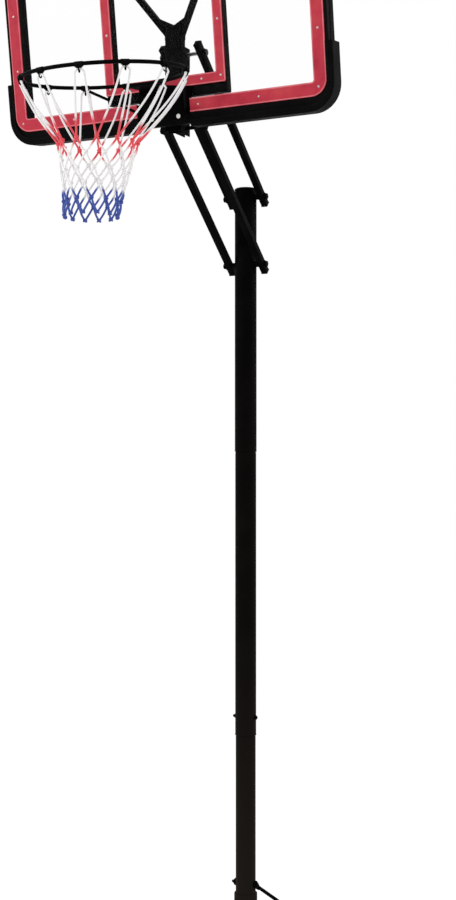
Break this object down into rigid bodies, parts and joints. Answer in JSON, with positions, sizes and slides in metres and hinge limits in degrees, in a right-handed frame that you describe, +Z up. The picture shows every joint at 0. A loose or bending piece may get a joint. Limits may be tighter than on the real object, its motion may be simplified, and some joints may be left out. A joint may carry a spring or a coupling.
{
  "type": "basketball hoop",
  "caption": "Portable basketball hoop: water-filled base, black pole, swinging lift arms, clear board with red borders, ring and net.",
  "frame": {"origin": "on the ground at the pole's axis, on the flat underside of the base", "axes": "+Z up the pole, -Y towards the ring, +X to the right of someone who faces the board from behind it"},
  "size_m": [1.102, 1.9702, 3.7332],
  "materials": {
    "black_steel": "satin black powder coat",
    "black_plastic": "fine-grained black moulding",
    "red_plastic": "semi-gloss dark red band",
    "clear_plastic": "clear polycarbonate sheet",
    "zinc": "zinc plated",
    "white_cord": "braided cord",
    "water": "clear liquid",
    "wheel_plastic": "matte black moulding"
  },
  "bodies": {
    "base": {"base_tank": "black_plastic", "water_ballast": "water", "wheel_axle": "zinc", "axle_cap_left": "zinc", "axle_cap_right": "zinc", "pole_lower": "black_steel", "pole_middle": "black_steel", "pole_upper": "black_steel", "pole_cap": "black_plastic", "joint_bolt": "zinc", "strut_left": "black_steel", "strut_right": "black_steel", "strut_bolt": "zinc", "foot_bolt_left": "zinc", "foot_bolt_right": "zinc", "pivot_sleeve_upper": "zinc", "pivot_sleeve_lower": "zinc", "pole_pivot_upper": "zinc", "pole_pivot_lower": "zinc"},
    "upper_arms": {"upper_arm_left": "black_steel", "upper_arm_left_front_plug": "black_plastic", "upper_arm_left_rear_plug": "black_plastic", "upper_arm_right": "black_steel", "upper_arm_right_front_plug": "black_plastic", "upper_arm_right_rear_plug": "black_plastic"},
    "lower_arms": {"lower_arm_left": "black_steel", "lower_arm_left_front_plug": "black_plastic", "lower_arm_left_rear_plug": "black_plastic", "lower_arm_right": "black_steel", "lower_arm_right_front_plug": "black_plastic", "lower_arm_right_rear_plug": "black_plastic"},
    "head": {"stem": "black_steel", "pivot_channel": "black_steel", "stem_wedge": "black_steel", "brace_left": "black_steel", "brace_right": "black_steel", "board_frame": "black_steel", "square_frame": "black_steel", "clear_panel": "clear_plastic", "border_moulding": "black_plastic", "border_trim": "red_plastic", "square_trim": "red_plastic", "edge_pad_left": "black_plastic", "edge_pad_right": "black_plastic", "rim_ring": "black_steel", "rim_bracket": "black_steel", "rim_brace_left": "black_steel", "rim_brace_right": "black_steel", "rim_bolt_left": "zinc", "rim_bolt_right": "zinc", "head_pivot_upper": "zinc", "head_pivot_lower": "zinc", "net": "white_cord"},
    "wheel_left": {"wheel_left": "wheel_plastic"},
    "wheel_right": {"wheel_right": "wheel_plastic"},
    "filler_cap": {"filler_cap": "black_plastic"}
  },
  "joints": [
    {"name": "lift_swing", "type": "hinge", "parent": "base", "child": "upper_arms", "pos_m": [0, 0, 2.859], "axis": [1, 0, 0], "range_deg": [0, 80]},
    {"name": "head_level", "type": "hinge", "parent": "upper_arms", "child": "head", "pos_m": [0, -0.43665, 3.22539], "axis": [1, 0, 0], "range_deg": [-80, 0]},
    {"name": "lower_arm_swing", "type": "hinge", "parent": "base", "child": "lower_arms", "pos_m": [0, 0, 2.634], "axis": [1, 0, 0], "range_deg": [0, 80]},
    {"name": "wheel_left_spin", "type": "hinge", "parent": "base", "child": "wheel_left", "pos_m": [-0.262, -0.293, 0.062], "axis": [1, 0, 0], "continuous": true},
    {"name": "wheel_right_spin", "type": "hinge", "parent": "base", "child": "wheel_right", "pos_m": [0.262, -0.293, 0.062], "axis": [1, 0, 0], "continuous": true},
    {"name": "filler_cap_turn", "type": "hinge", "parent": "base", "child": "filler_cap", "pos_m": [0, 0.64, 0.165], "axis": [0, 0, 1], "range_deg": [0, 270]}
  ],
  "couplings": [
    {"joint": "head_level", "follows": "lift_swing", "ratio": -1},
    {"joint": "lower_arm_swing", "follows": "lift_swing", "ratio": 1}
  ]
}
